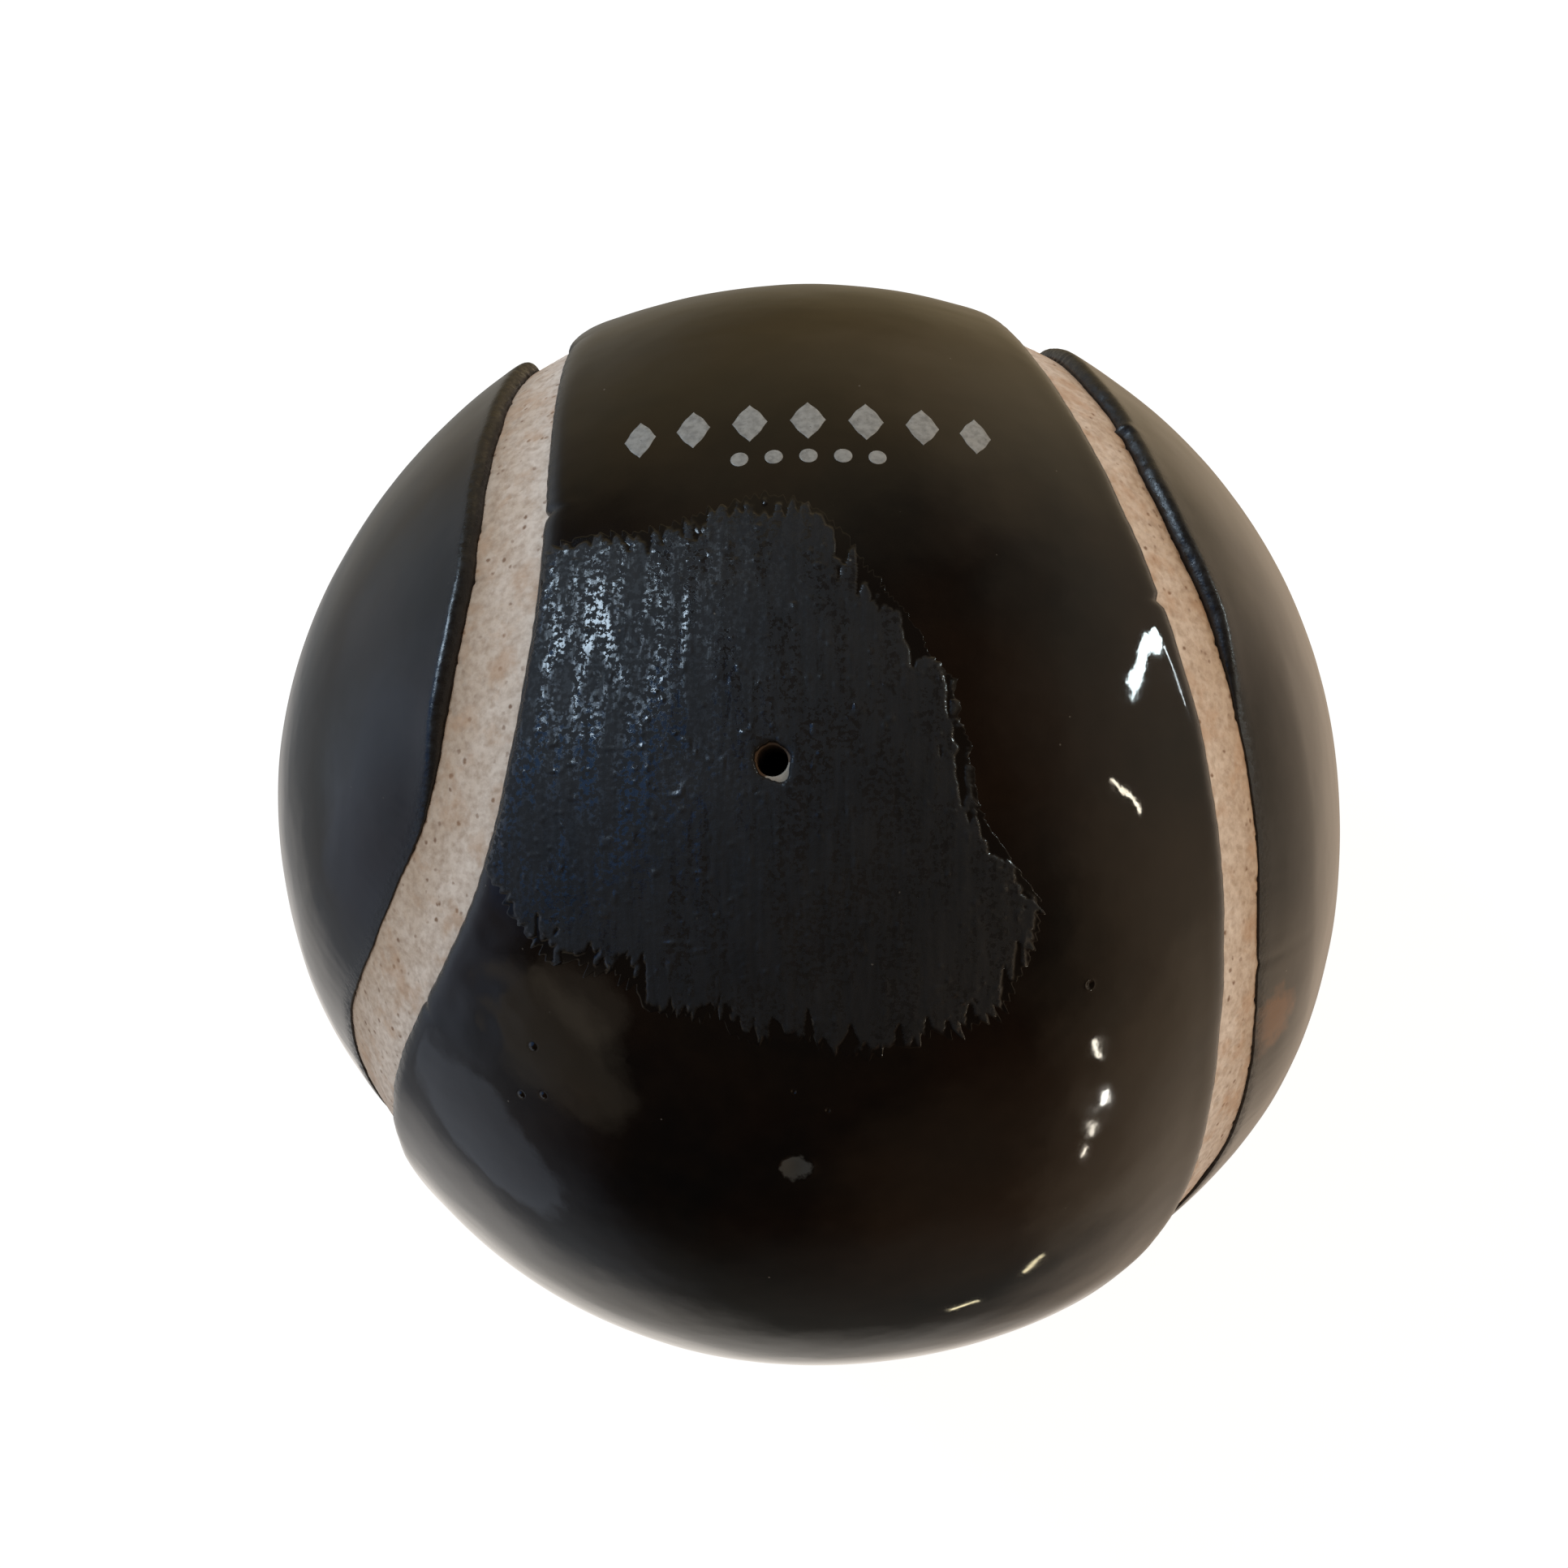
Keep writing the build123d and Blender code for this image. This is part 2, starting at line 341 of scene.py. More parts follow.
class Skin:
    """Collects the vertices and triangles of one closed mesh."""

    def __init__(self):
        self.points = []
        self.triangles = []
        self.count = 0

    def place(self, directions, radii):
        """Adds vertices and gives their numbers."""
        self.points.append(directions * np.asarray(radii).reshape(-1, 1))
        first = self.count
        self.count += len(directions)
        return np.arange(first, self.count)

    def strip(self, a, b):
        """Joins two closed loops of as many vertices. Seen from outside, b lies on the left of a."""
        a2, b2 = np.roll(a, -1), np.roll(b, -1)
        self.triangles.append(np.stack([a, a2, b2], -1))
        self.triangles.append(np.stack([a, b2, b], -1))

    def cap(self, loops, directions, numbers, centre, inward=False):
        """Fills the first loop, less the other loops, with a Delaunay mesh of the directions."""
        centre = normalized(np.asarray(centre, float))
        a = normalized(np.cross([0.31, 0.17, 0.94] if abs(centre[2]) < 0.9 else [1.0, 0.1, 0.0], centre))
        b = np.cross(centre, a)
        flat = np.stack([directions @ a, directions @ b], -1) / (1 + directions @ centre)[:, None]
        edges = []
        start = 0
        for loop in loops:
            k = np.arange(len(loop))
            edges.append(np.stack([start + k, start + (k + 1) % len(loop)], -1))
            start += len(loop)
        out = delaunay_2d_cdt(
            [Vector(p) for p in flat.tolist()], np.concatenate(edges).tolist(), [], 1, 1e-9, False
        )
        if len(out[0]) != len(flat):
            raise RuntimeError("a loop crosses itself")
        tri = np.array(out[2])
        # A triangle with all its corners on one loop stays only if it lies in the filled area
        start = 0
        for k, loop in enumerate(loops):
            ring = flat[start : start + len(loop)]
            turn = np.sum(ring[:, 0] * np.roll(ring[:, 1], -1) - ring[:, 1] * np.roll(ring[:, 0], -1))
            on_loop = ((tri >= start) & (tri < start + len(loop))).all(axis=1)
            q = flat[np.sort(tri, axis=1)]
            u, v = q[:, 1] - q[:, 0], q[:, 2] - q[:, 0]
            enclosed = (u[:, 0] * v[:, 1] - u[:, 1] * v[:, 0]) * turn > 0
            tri = tri[~(on_loop & (enclosed if k else ~enclosed))]
            start += len(loop)
        tri = numbers[tri]
        self.triangles.append(tri[:, ::-1] if inward else tri)

    def directions(self):
        return normalized(np.concatenate(self.points))

    def build(self, name, **marks):
        """Makes the object. Each mark is a number for every vertex, for its material to use."""
        points = np.concatenate(self.points) * MM
        tri = np.concatenate(self.triangles).astype(np.int32)
        mesh = bpy.data.meshes.new(name)
        mesh.vertices.add(len(points))
        mesh.vertices.foreach_set("co", points.astype(np.float32).ravel())
        mesh.loops.add(3 * len(tri))
        mesh.loops.foreach_set("vertex_index", tri.ravel())
        mesh.polygons.add(len(tri))
        mesh.polygons.foreach_set("loop_start", np.arange(len(tri), dtype=np.int32) * 3)
        mesh.polygons.foreach_set("loop_total", np.full(len(tri), 3, dtype=np.int32))
        mesh.polygons.foreach_set("use_smooth", np.ones(len(tri), dtype=bool))
        corners = points[tri]
        face = np.cross(corners[:, 1] - corners[:, 0], corners[:, 2] - corners[:, 0])
        normals = np.full(points.shape, 1e-20)
        for k in range(3):
            np.add.at(normals, tri[:, k], face)
        for mark, values in marks.items():
            layer = mesh.attributes.new(mark, "FLOAT", "POINT")
            layer.data.foreach_set("value", np.asarray(values, np.float32))
        mesh.update(calc_edges=True)
        mesh.validate()
        # Weighted by area, because thin triangles would tilt Blender's own normals
        mesh.normals_split_custom_set_from_vertices(normalized(normals))
        obj = bpy.data.objects.new(name, mesh)
        bpy.context.scene.collection.objects.link(obj)
        return obj


def attach(obj, node, material):
    """Puts the piece on the body in place of its CAD node."""
    obj.data.materials.append(material)
    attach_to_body(obj, "root")
    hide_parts(node)


FRONT_WAIST = unit(90.0, 62.0)  # middle of the front panel, which passes over the ball's top
CAMERA_SIDE = np.array([0.0626, -0.0967, 0.9933])
HORIZON = -0.02  # a little behind the outline that the camera sees, as a share of the radius


def spread(spacing_near, spacing_far):
    """Directions that lie closer together on the side that the camera sees."""
    near = fibonacci(spacing_near)
    far = fibonacci(spacing_far)
    return np.concatenate([near[near @ CAMERA_SIDE > HORIZON], far[far @ CAMERA_SIDE <= HORIZON]])


def glaze_panel(name, side, coat):
    """One glaze panel: fine rows over its rounded edge, an even mesh between them, and an inner face."""
    skin = Skin()
    width = shoulder(side, groove.line(side, 0.0))
    steps = [width * (1 - math.cos(math.radians(a))) for a in (0, 12, 22, 32, 42, 52, 62, 72, 81, 90)]
    steps += [width + more for more in (0.25, 0.55, 0.9, 1.3, 1.75, 2.2)]
    rows = []
    for i, e in enumerate(steps):
        n = groove.line(side, e)
        edges = groove.measure(n)
        edges[side] = e
        r = glaze_top(n, edges)
        if i == 0:
            r = clay_floor(n) - 0.1
        rows.append((n, skin.place(n, r)))
    order = [r[1] if side == 1 else r[1][::-1] for r in rows]
    for low, high in zip(order, order[1:]):
        skin.strip(low, high)

    def fill(directions, margin):
        """The directions that lie in the panel, clear of its edge by the margin."""
        e = groove.measure(directions)
        keep = e[side] > margin
        return directions[keep], {s: e[s][keep] for s in e}

    n = spread(0.46, 0.85)
    n, edges = fill(n, shoulder(side, n) + 2.5)
    holes, hole_n = [], []
    if side == 1:
        hidden = coat.inside(n) > 1.2
        pick = ~hidden | (np.arange(len(n)) % 9 == 0)
        pick &= beyond(n, 2.8)
        n, edges = n[pick], {s: edges[s][pick] for s in edges}
        extra = [dimple_points(*d[:3]) for d in DIMPLES]
        e_extra = groove.measure(np.concatenate(extra))
        n = np.concatenate([n] + extra)
        edges = {s: np.concatenate([edges[s], e_extra[s]]) for s in edges}
        top_hole = vent_ring(0.0)
        holes.append(skin.place(top_hole, glaze_top(top_hole, clear_of_groove(VENT_STEPS)) - 0.1))
        hole_n.append(top_hole)
    centre = FRONT_WAIST * side
    numbers = skin.place(n, glaze_top(n, edges))
    loops = [rows[-1][1]] + holes
    loop_n = [rows[-1][0]] + hole_n
    skin.cap(loops, np.concatenate(loop_n + [n]), np.concatenate(loops + [numbers]), centre)

    n, edges = fill(fibonacci(1.6), 0.8)
    if side == 1:
        clear = beyond(n, 4.0)
        n, edges = n[clear], {s: edges[s][clear] for s in edges}
        low_hole = skin.place(hole_n[0], np.full(VENT_STEPS, RADIUS - GLAZE - 0.05))
        skin.strip(holes[0], low_hole)
        holes = [low_hole]
    numbers = skin.place(n, glaze_top(n, edges) - GLAZE)
    loops = [rows[0][1]] + holes
    loop_n = [rows[0][0]] + hole_n
    skin.cap(loops, np.concatenate(loop_n + [n]), np.concatenate(loops + [numbers]), centre, inward=True)
    edge = np.exp(-((np.maximum(groove.measure(skin.directions())[side], 0) / 1.1) ** 2))
    return skin.build(name, rim=edge)


def dimple_points(lon, pol, radius):
    """Extra directions over one dimple, so that its bowl is round."""
    centre = unit(lon, pol)
    a = normalized(np.cross(centre, [0.2, 0.3, 0.9]))
    b = np.cross(centre, a)
    found = []
    for k in range(1, 9):
        turn = np.arange(8 + 4 * k) / (8 + 4 * k) * 2 * math.pi + 0.3 * k
        gap = radius * 1.5 * k / 8 / RADIUS
        found.append(centre + gap * (np.cos(turn)[:, None] * a + np.sin(turn)[:, None] * b))
    return normalized(np.concatenate(found))


class Coat:
    """The brushed coat's outline and its depth inside the outline."""

    def __init__(self):
        table = np.array(COAT_OUTLINE, float)
        line = normalized(closed_spline(unit(table[:, 0], table[:, 1]), 4000))
        longitude = np.degrees(np.arctan2(line[:, 1], line[:, 0])) % 360
        angle = np.degrees(np.arccos(line[:, 2]))
        order = np.argsort(longitude)
        self.grid = np.arange(COAT_STEPS) / COAT_STEPS * 360
        self.reach = np.interp(self.grid, longitude[order], angle[order], period=360)
        self.reach += self.jags()
        self.keep_off_groove()

    def jags(self):
        """Bristle marks, deepest along the lower edge."""
        fine = ring_noise(COAT_STEPS, [(220, 0.3)], 61)
        slow = ring_noise(COAT_STEPS, [(22, 0.45), (60, 0.3)], 62)
        down = smooth((np.cos(np.radians(self.grid - 262)) + 0.3) / 1.1)
        up = smooth((np.cos(np.radians(self.grid - 110)) - 0.5) / 0.4)
        return fine * (0.25 + 0.9 * down + 0.8 * up) + slow * (0.6 + 0.6 * down)

    def keep_off_groove(self):
        """Stops the outline at the panel's rounded edge."""
        angles = np.arange(12, 40, 0.25)
        lon = np.repeat(self.grid, len(angles))
        n = unit(lon, np.tile(angles, len(self.grid)))
        e = groove.measure(n)[1].reshape(len(self.grid), -1)
        margin = 0.55 + 0.12 * ring_noise(COAT_STEPS, [(90, 0.6), (300, 0.4)], 63)
        blocked = e < margin[:, None]
        first = np.where(blocked.any(1), angles[np.argmax(blocked, 1)], 99)
        self.reach = np.minimum(self.reach, first - 0.25)

    def inside(self, n):
        """Depth inside the outline, in millimetres, measured towards the vent."""
        longitude = np.degrees(np.arctan2(n[:, 1], n[:, 0])) % 360
        angle = np.degrees(np.arccos(np.clip(n[:, 2], -1, 1)))
        return np.radians(np.interp(longitude, self.grid, self.reach, period=360) - angle) * RADIUS


def vent_ring(gap):
    """Ring round the vent, this far outside the edge of the glaze, which chipped on the lower right."""
    turn = np.arange(VENT_STEPS) / VENT_STEPS * 360
    chip = 0.42 * np.exp(-(((turn - 300) / 34) ** 2)) + 0.05 * np.sin(np.radians(turn * 5))
    ragged = 0.04 * noise(np.stack([turn / 9, turn * 0, turn * 0], -1), 1, 72)
    across = VENT_RADIUS + 0.14 + chip + ragged + gap
    return unit(turn, np.degrees(across / RADIUS))


def brushed_coat(coat):
    skin = Skin()
    rows = []
    for depth in (0.0, 0.12, 0.28, 0.5):
        n = unit(coat.grid, coat.reach - math.degrees(depth / RADIUS))
        inside = np.full(len(n), depth)
        base = glaze_top(n, groove.measure(n))
        r = base - 0.03 if depth == 0 else base + coat_relief(n, inside)
        rows.append((n, skin.place(n, r)))
    for low, high in zip(rows, rows[1:]):
        skin.strip(low[1], high[1])
    wide = clear_of_groove(VENT_STEPS)
    holes = []
    for gap, drop in ((0.0, 0.3), (0.03, 0.17), (0.09, 0.08), (0.19, 0.02), (0.34, 0.0)):
        n = vent_ring(gap)
        r = glaze_top(n, wide) + coat_relief(n, np.full(VENT_STEPS, 5.0)) - drop
        holes.append((n, skin.place(n, r)))
    for low, high in zip(holes, holes[1:]):
        skin.strip(high[1], low[1])
    n = fibonacci(0.15)
    n = n[~beyond(n, 36)]
    inside = coat.inside(n)
    gap = np.arccos(np.clip(n[:, 2], -1, 1)) * RADIUS - VENT_RADIUS
    lower_right = (n @ unit(300.0, 90.0)) * RADIUS > 0.5
    keep = (inside > 0.6) & (gap > np.where(lower_right, 1.0, 0.65))
    n, inside = n[keep], inside[keep]
    numbers = skin.place(n, glaze_top(n, groove.measure(n)) + coat_relief(n, inside))
    loops = [rows[-1][1], holes[-1][1]]
    ns = [rows[-1][0], holes[-1][0], n]
    skin.cap(loops, np.concatenate(ns), np.concatenate(loops + [numbers]), (0, 0, 1))
    low = skin.place(holes[0][0], glaze_top(holes[0][0], wide) - 0.45)
    skin.strip(holes[0][1], low)
    n = fibonacci(1.5)
    inside = coat.inside(n)
    keep = (inside > 0.8) & beyond(n, 3) & ~beyond(n, 60)
    n = n[keep]
    numbers = skin.place(n, glaze_top(n, groove.measure(n)) - 0.15)
    loops = [rows[0][1], low]
    ns = [rows[0][0], holes[0][0], n]
    skin.cap(loops, np.concatenate(ns), np.concatenate(loops + [numbers]), (0, 0, 1), inward=True)
    n = skin.directions()
    return skin.build("brushed_coat_skin", cover=coat_cover(n, coat.inside(n)))


def clay_outer(n, edges):
    """Outer surface of the clay: the groove's floor, and under the glaze elsewhere."""
    floor = clay_floor(n)
    shifted = {s: edges[s] - 0.3 for s in edges}
    under = glaze_top(n, shifted) - GLAZE
    e = np.maximum(edges[1], edges[-1])
    mix = smooth((e - 0.3) / 0.5)
    return floor * (1 - mix) + np.minimum(under, RADIUS - 0.3) * mix


def vent_rim(skin):
    """Worn clay rim of the vent, as rings that widen from the bore."""
    rims = []
    # Distance out from the bore, and radius
    for gap, r in ((0.0, 45.32), (0.06, 45.42), (0.16, 45.46), (0.35, 45.48), (0.6, 45.5), (1.0, 45.5)):
        ring = circle(math.degrees((VENT_RADIUS + gap) / RADIUS), VENT_STEPS)
        rims.append((ring, skin.place(ring, r + 0.03 * noise(ring * RADIUS, 0.5, 73))))
    for low, high in zip(rims, rims[1:]):
        skin.strip(high[1], low[1])
    return rims


def vent_bore(skin, top):
    """Wall of the vent from this ring down to the hollow. Gives the lowest ring and its numbers."""
    walls = [top]
    for r in (45.1, 44.5, 43.0, 41.0, INNER_RADIUS):
        ring = circle(math.degrees(math.asin(VENT_RADIUS / r)), VENT_STEPS)
        rough = 1 + 0.03 * noise(ring * 60 + r, 0.8, 71)
        ring = normalized(ring * np.stack([rough, rough, np.ones(VENT_STEPS)], -1))
        walls.append(skin.place(ring, np.full(VENT_STEPS, r)))
    for high, low in zip(walls, walls[1:]):
        skin.strip(high, low)
    return ring, walls[-1]


def clay_half(name, up):
    """One clay half with the groove cut in it, its rim and its hollow inside."""
    skin = Skin()
    rim_angle = math.degrees(math.acos(SLIP_HALF / FLOOR_RADIUS))
    rim = circle(rim_angle if up else 180 - rim_angle, JOINT_STEPS)
    rim_radius = clay_outer(rim, groove.measure(rim))
    outer = skin.place(rim, rim_radius)
    corner = skin.place(rim, rim_radius - CORNER)
    pick = []
    # Spacing, limits of the distance from the groove's edge into the glaze, and whether the camera sees it
    for spacing, low, high, seen in ((0.2, -9, 0.35, True), (0.36, -9, 0.35, False), (1.5, 0.8, 99, None)):
        n = fibonacci(spacing)
        n = n[(n[:, 2] if up else -n[:, 2]) > SLIP_HALF / FLOOR_RADIUS + 0.5 * spacing / RADIUS]
        if seen is not None:
            n = n[(n @ CAMERA_SIDE > HORIZON) == seen]
        e = groove.measure(n)
        near = np.maximum(e[1], e[-1])
        pick.append(n[(near > low) & (near < high)])
    n = np.concatenate(pick)
    holes, hole_n = [], []
    if up:
        n = n[beyond(n, 4.2)]
        rims = vent_rim(skin)
        holes, hole_n = [rims[-1][1]], [rims[-1][0]]
    numbers = skin.place(n, clay_outer(n, groove.measure(n)))
    centre = (0, 0, 1 if up else -1)
    loops = [outer] + holes
    skin.cap(loops, np.concatenate([rim] + hole_n + [n]), np.concatenate(loops + [numbers]), centre)
    inner = skin.place(rim, np.full(JOINT_STEPS, INNER_RADIUS))
    for low, high in ((inner, corner), (corner, outer)):
        if up:
            skin.strip(low, high)
        else:
            skin.strip(high, low)
    n = fibonacci(2.0)
    n = n[(n[:, 2] if up else -n[:, 2]) > 0.05]
    if up:
        n = n[beyond(n, 4)]
        ring, low_end = vent_bore(skin, rims[0][1])
        holes, hole_n = [low_end], [ring]
    numbers = skin.place(n, np.full(len(n), INNER_RADIUS))
    loops = [inner] + holes
    ns = np.concatenate([rim] + hole_n + [n])
    skin.cap(loops, ns, np.concatenate(loops + [numbers]), centre, inward=True)
    edges = groove.measure(skin.directions())
    across = np.clip((edges[1] - edges[-1]) / -np.minimum(edges[1] + edges[-1], -1), -1, 1)
    return skin.build(name, across=across)


def slip_ring():
    """Web of slip between the rims, with a bead inside."""
    skin = Skin()
    rim_angle = math.degrees(math.acos(SLIP_HALF / FLOOR_RADIUS))
    rows = []
    web = [(angle, 0.0) for angle in np.linspace(rim_angle, 180 - rim_angle, 4)]
    for angle, drop in [(rim_angle, CORNER), *web, (180 - rim_angle, CORNER)]:
        n = circle(angle, JOINT_STEPS)
        rows.append(skin.place(n, clay_outer(n, groove.measure(n)) - drop))
    bead = [(92.8, 39.45), (91.6, 38.6), (90.0, 38.3), (88.4, 38.6), (87.2, 39.45)]
    for angle, r in [(180 - rim_angle, 39.6), *bead, (rim_angle, 39.6)]:
        rows.append(skin.place(circle(angle, JOINT_STEPS), np.full(JOINT_STEPS, r)))
    rows.append(rows[0])
    for high, low in zip(rows, rows[1:]):
        skin.strip(low, high)
    return skin.build("luting_slip_ring", across=np.zeros(skin.count))


# The printed mark

MARK_ANGLE, MARK_LONGITUDE, MARK_TILT = 35.6, 86.0, 3.8
LOZENGES, LOZENGE_HEIGHT, LOZENGE_WIDTH, LOZENGE_PITCH = 7, 4.4, 2.9, 4.4
DOTS, DOT_DIAMETER, DOT_PITCH, DOT_DROP = 5, 1.4, 2.6, 3.8


def mark_print():
    """Row of lozenges over a row of dots, as thin skins on the glaze."""
    skin = Skin()
    z = unit(MARK_LONGITUDE, MARK_ANGLE)
    x = unit(MARK_TILT, 90.0)
    x = normalized(x - (x @ z) * z)
    y = np.cross(z, x)

    def stamp(outline):
        """Closed thin skin inside an outline given on the mark's plane."""
        centre = outline.mean(0)
        rows = []
        # Share of the outline, and height over the glaze
        for share, lift in ((1.0, -0.02), (0.97, 0.022), (0.8, 0.03), (0.55, 0.03), (0.3, 0.03)):
            flat = centre + (outline - centre) * share
            n = normalized(z * RADIUS + flat[:, :1] * x + flat[:, 1:] * y)
            base = glaze_top(n, clear_of_groove(len(n)))
            grain = 0.006 * noise(n * RADIUS, 0.4, 81)
            rows.append((n, skin.place(n, base + lift + grain)))
        for low, high in zip(rows, rows[1:]):
            skin.strip(low[1], high[1])
        skin.cap([rows[-1][1]], rows[-1][0], rows[-1][1], z)
        skin.cap([rows[0][1]], rows[0][0], rows[0][1], z, inward=True)

    half_w, half_h = LOZENGE_WIDTH / 2, LOZENGE_HEIGHT / 2
    corners = np.array([(half_w, 0), (0, half_h), (-half_w, 0), (0, -half_h)])
    share = (np.arange(14) / 14)[:, None]
    line = np.concatenate([corners[k] * (1 - share) + corners[(k + 1) % 4] * share for k in range(4)])
    line = line * (1 - 0.05 * np.cos(4 * np.arctan2(line[:, 1] / half_h, line[:, 0] / half_w)))[:, None]
    for i in range(LOZENGES):
        stamp(line + [(i - (LOZENGES - 1) / 2) * LOZENGE_PITCH, 0])
    for i in range(DOTS):
        turn = np.arange(32) / 32 * 2 * math.pi
        dot = DOT_DIAMETER / 2 * np.stack([np.cos(turn), np.sin(turn)], -1)
        stamp(dot + [(i - (DOTS - 1) / 2) * DOT_PITCH, -DOT_DROP])
    return skin.build("transfer_mark_print")


# Materials


class Nodes:
    """Short calls for building a material's node tree. Positions are in millimetres."""

    def __init__(self, name):
        self.material = bpy.data.materials.new(name)
        self.material.use_nodes = True
        self.tree = self.material.node_tree
        self.tree.nodes.clear()
        self.out = self.tree.nodes.new("ShaderNodeOutputMaterial")
        self.shader = self.tree.nodes.new("ShaderNodeBsdfPrincipled")
        self.link(self.shader.outputs[0], self.out.inputs[0])
        place = self.tree.nodes.new("ShaderNodeTexCoord").outputs["Object"]
        self.position = self.scaled(place, (1000, 1000, 1000))

    def link(self, a, b):
        """Links an output to the input b, or gives b a plain value."""
        if isinstance(a, bpy.types.NodeSocket):
            self.tree.links.new(a, b)
        else:
            b.default_value = a

    def scaled(self, vector, scale):
        node = self.tree.nodes.new("ShaderNodeVectorMath")
        node.operation = "MULTIPLY"
        self.link(vector, node.inputs[0])
        node.inputs[1].default_value = scale
        return node.outputs[0]

    def noise(self, size, detail=2.0, roughness=0.5, stretch=(1, 1, 1), distortion=0.0):
        """Noise whose features are about this many millimetres wide."""
        node = self.tree.nodes.new("ShaderNodeTexNoise")
        node.inputs["Scale"].default_value = 1.0 / size
        node.inputs["Detail"].default_value = detail
        node.inputs["Roughness"].default_value = roughness
        node.inputs["Distortion"].default_value = distortion
        self.link(self.scaled(self.position, stretch), node.inputs["Vector"])
        return node.outputs["Fac"]

    def spots(self, size, spread=1.0):
        """Distance to scattered points about this many millimetres apart."""
        node = self.tree.nodes.new("ShaderNodeTexVoronoi")
        node.inputs["Scale"].default_value = 1.0 / size
        node.inputs["Randomness"].default_value = spread
        self.link(self.position, node.inputs["Vector"])
        return node.outputs["Distance"]

    def vector(self, kind, a, b=None):
        node = self.tree.nodes.new("ShaderNodeVectorMath")
        node.operation = kind
        self.link(a, node.inputs[0])
        if b is not None:
            self.link(b, node.inputs[1])
        return node.outputs["Value"]

    def length(self, v):
        return self.vector("LENGTH", v)

    def along(self, longitude):
        """Millimetres from the vent's axis in this direction."""
        return self.vector("DOT_PRODUCT", self.position, tuple(unit(longitude, 90.0)))

    def mark(self, name):
        """A number stored on the mesh's vertices."""
        node = self.tree.nodes.new("ShaderNodeAttribute")
        node.attribute_name = name
        return node.outputs["Fac"]

    def above(self, height):
        """1 where the point is higher than this many millimetres, 0 below."""
        node = self.tree.nodes.new("ShaderNodeSeparateXYZ")
        self.link(self.position, node.inputs[0])
        return self.math("GREATER_THAN", node.outputs["Z"], height)

    def away(self, longitude, from_vent):
        """Distance from a place on the ball, in centimetres."""
        return self.vector("DISTANCE", self.scaled(self.position, (0.1, 0.1, 0.1)),
                           tuple(unit(longitude, from_vent) * RADIUS / 10))

    def ramp(self, value, *stops):
        node = self.tree.nodes.new("ShaderNodeValToRGB")
        ramp = node.color_ramp
        while len(ramp.elements) < len(stops):
            ramp.elements.new(0.5)
        for element, (place, colour) in zip(ramp.elements, stops):
            element.position = place
            grey = isinstance(colour, (int, float))
            element.color = (colour, colour, colour, 1) if grey else (*colour, 1)
        self.link(value, node.inputs[0])
        return node.outputs[0]

    def mix(self, share, a, b, kind="MIX"):
        node = self.tree.nodes.new("ShaderNodeMix")
        node.data_type = "RGBA"
        node.blend_type = kind
        self.link(share, node.inputs["Factor"])
        for value, socket in ((a, node.inputs["A"]), (b, node.inputs["B"])):
            self.link((*value, 1) if isinstance(value, tuple) else value, socket)
        return node.outputs["Result"]

    def math(self, kind, a, b=0.0):
        node = self.tree.nodes.new("ShaderNodeMath")
        node.operation = kind
        self.link(a, node.inputs[0])
        self.link(b, node.inputs[1])
        return node.outputs[0]

    def bump(self, height, strength, distance_mm, normal=None):
        node = self.tree.nodes.new("ShaderNodeBump")
        node.inputs["Strength"].default_value = strength
        node.inputs["Distance"].default_value = distance_mm * MM
        self.link(height, node.inputs["Height"])
        if normal is not None:
            self.link(normal, node.inputs["Normal"])
        return node.outputs[0]

    def set(self, **values):
        for name, value in values.items():
            self.link(value, self.shader.inputs[name.replace("_", " ")])
        return self.material


def glaze_material():
    """Black-brown gloss glaze: duller along its rims, with faint waves, dust, rust and one rubbed spot."""
    n = Nodes("black_glaze")
    broad = n.ramp(n.noise(16, 3), (0.35, (0.0042, 0.0035, 0.0032)), (0.65, (0.0105, 0.0052, 0.003)))
    fine = n.ramp(n.noise(2.2, 4, 0.6), (0.4, (0.004, 0.0034, 0.0031)), (0.75, (0.009, 0.0066, 0.005)))
    colour = n.mix(0.4, broad, fine)
    dust = n.ramp(n.spots(1.9), (0.03, 1.0), (0.055, 0.0))
    pick = n.ramp(n.noise(0.9, 1), (0.6, 0.0), (0.64, 1.0))
    colour = n.mix(n.math("MULTIPLY", dust, pick), colour, (0.09, 0.08, 0.07))
    rust = n.ramp(n.math("ADD", n.away(335.0, 67.5), n.math("MULTIPLY", n.noise(1.6, 3, 0.6), 0.5)),
                  (0.45, 0.9), (0.62, 0.0))
    colour = n.mix(rust, colour, (0.11, 0.042, 0.012))
    rub = n.ramp(n.math("ADD", n.away(272.3, 39.3), n.math("MULTIPLY", n.noise(0.6, 2), 0.12)),
                 (0.155, 1.0), (0.185, 0.0))
    rim = n.math("MULTIPLY", n.mark("rim"), n.ramp(n.noise(0.8, 3, 0.6), (0.3, 0.6), (0.6, 1.0)))
    colour = n.mix(rim, colour, (0.0135, 0.0128, 0.0132))
    colour = n.mix(n.math("MULTIPLY", rub, 0.8), colour, (0.05, 0.05, 0.047))
    rough = n.ramp(n.noise(7, 4, 0.65), (0.35, 0.02), (0.7, 0.08))
    rough = n.mix(rim, rough, n.ramp(n.noise(0.5, 3, 0.7), (0.4, 0.55), (0.65, 0.28)))
    rough = n.mix(rub, rough, (0.42, 0.42, 0.42))
    waves = n.bump(n.noise(1.5, 2), 0.12, 0.05)
    skin = n.bump(n.noise(0.35, 2), 0.05, 0.02, waves)
    cut = n.bump(n.math("MULTIPLY", rim, n.noise(0.4, 3, 0.6)), 0.8, 0.05, skin)
    return n.set(Base_Color=colour, Roughness=rough, IOR=1.52, Normal=cut)


